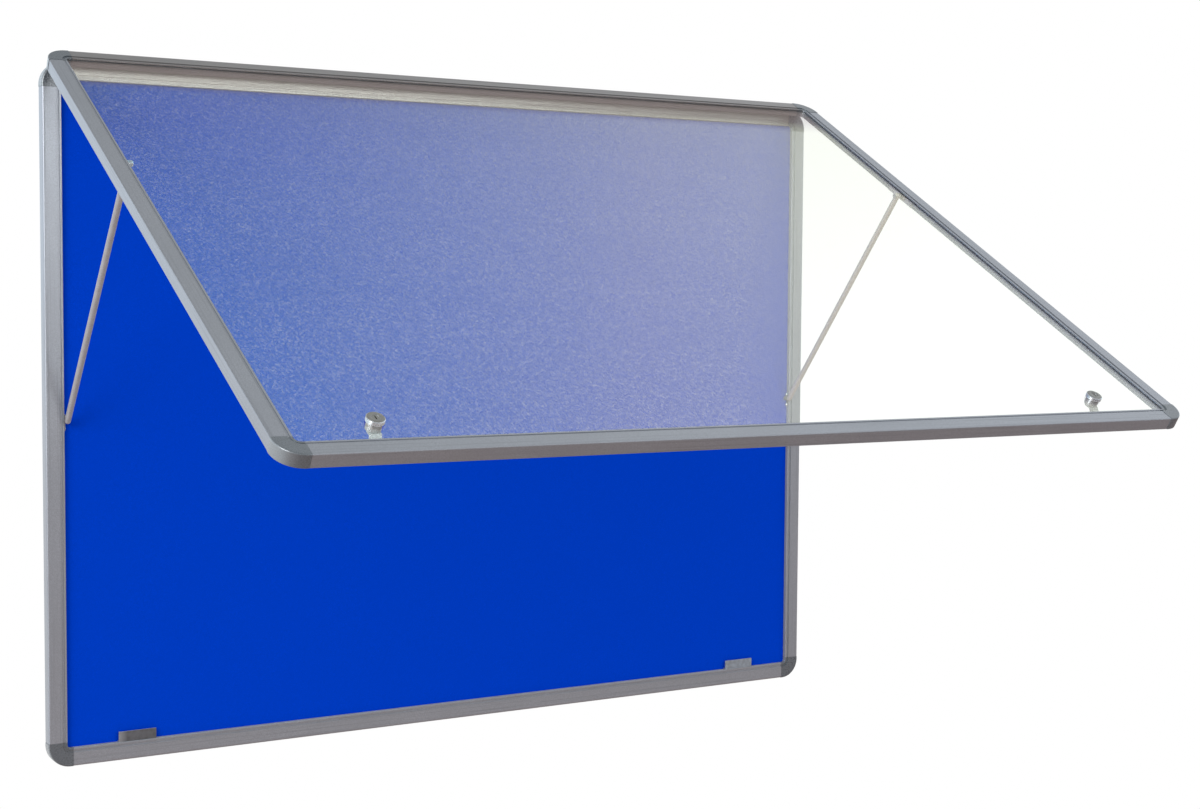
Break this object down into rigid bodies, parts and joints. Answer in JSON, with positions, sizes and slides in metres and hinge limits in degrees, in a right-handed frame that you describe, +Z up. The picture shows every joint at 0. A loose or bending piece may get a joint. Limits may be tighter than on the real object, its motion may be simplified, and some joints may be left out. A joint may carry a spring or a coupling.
{
  "type": "lockable notice board",
  "caption": "Wall-hung pinboard in a shallow aluminium frame under a glazed, top-hinged door with prop stays and cam locks.",
  "frame": {"origin": "centre of the wall plane behind the board, midway between the four hanging holes", "axes": "+X along the board's width, +Y into the wall, +Z up; the door faces -Y"},
  "size_m": [1.2008, 0.8029, 0.9139],
  "materials": {
    "frame_aluminium": "satin anodised",
    "door_aluminium": "satin anodised",
    "corner_grey": "satin grey paint",
    "felt_blue": "napped felt",
    "fibreboard": "raw soft fibreboard",
    "backing": "white laminate",
    "clear_glazing": "clear",
    "gasket_rubber": "matt",
    "zinc_steel": "zinc plated",
    "keep_steel": "dull grey",
    "lock_metal": "satin nickel",
    "stay_steel": "satin"
  },
  "bodies": {
    "back_frame": {"frame_rail_top": "frame_aluminium", "frame_rail_bottom": "frame_aluminium", "frame_rail_left": "frame_aluminium", "frame_rail_right": "frame_aluminium", "frame_corner_bottom_left": "corner_grey", "frame_corner_bottom_right": "corner_grey", "frame_corner_top_right": "corner_grey", "frame_corner_top_left": "corner_grey", "pinboard_core": "fibreboard", "fabric_facing": "felt_blue", "back_sheet": "backing", "keep_plate_left": "keep_steel", "keep_plate_right": "keep_steel", "keep_screws": "zinc_steel", "stay_catch_left": "zinc_steel", "stay_catch_right": "zinc_steel", "catch_screws": "zinc_steel", "hanging_plates": "zinc_steel", "hanging_screws": "zinc_steel", "hinge_leaf_frame": "frame_aluminium", "hinge_pin": "zinc_steel", "hinge_screws_frame": "zinc_steel"},
    "door": {"door_rail_top": "door_aluminium", "door_rail_bottom": "door_aluminium", "door_rail_left": "door_aluminium", "door_rail_right": "door_aluminium", "door_corner_bottom_left": "corner_grey", "door_corner_bottom_right": "corner_grey", "door_corner_top_right": "corner_grey", "door_corner_top_left": "corner_grey", "glazing_sheet": "clear_glazing", "glazing_gasket": "gasket_rubber", "hinge_leaf_door": "door_aluminium", "hinge_screws_door": "zinc_steel", "stay_bracket_left": "zinc_steel", "stay_bracket_right": "zinc_steel", "stay_pivot_left": "zinc_steel", "stay_pivot_right": "zinc_steel", "bracket_screws": "zinc_steel", "lock_housing_left": "lock_metal", "lock_housing_right": "lock_metal", "lock_nut_left": "zinc_steel", "lock_nut_right": "zinc_steel"},
    "lock_left": {"lock_plug_left": "lock_metal", "lock_cam_left": "zinc_steel", "cam_screw_left": "zinc_steel"},
    "lock_right": {"lock_plug_right": "lock_metal", "lock_cam_right": "zinc_steel", "cam_screw_right": "zinc_steel"},
    "stay_left": {"stay_rod_left": "stay_steel"},
    "stay_right": {"stay_rod_right": "stay_steel"}
  },
  "joints": [
    {"name": "door_hinge", "type": "hinge", "parent": "back_frame", "child": "door", "pos_m": [0, -0.01575, 0.45], "axis": [1, 0, 0], "range_deg": [0, 60]},
    {"name": "left_stay_pivot", "type": "hinge", "parent": "door", "child": "stay_left", "pos_m": [-0.5732, -0.2734, 0.30627], "axis": [1, 0, 0], "range_deg": [-100, 1]},
    {"name": "right_stay_pivot", "type": "hinge", "parent": "door", "child": "stay_right", "pos_m": [0.5732, -0.2734, 0.30627], "axis": [1, 0, 0], "range_deg": [-100, 1]},
    {"name": "left_lock_turn", "type": "hinge", "parent": "door", "child": "lock_left", "pos_m": [-0.484, -0.75267, 0.03638], "axis": [0, -0.5, 0.866], "range_deg": [0, 90]},
    {"name": "right_lock_turn", "type": "hinge", "parent": "door", "child": "lock_right", "pos_m": [0.484, -0.75267, 0.03638], "axis": [0, -0.5, 0.866], "range_deg": [0, 90]}
  ],
  "couplings": [
    {"joint": "left_stay_pivot", "follows": "door_hinge", "ratio": -1.6548},
    {"joint": "right_stay_pivot", "follows": "door_hinge", "ratio": -1.6548}
  ]
}
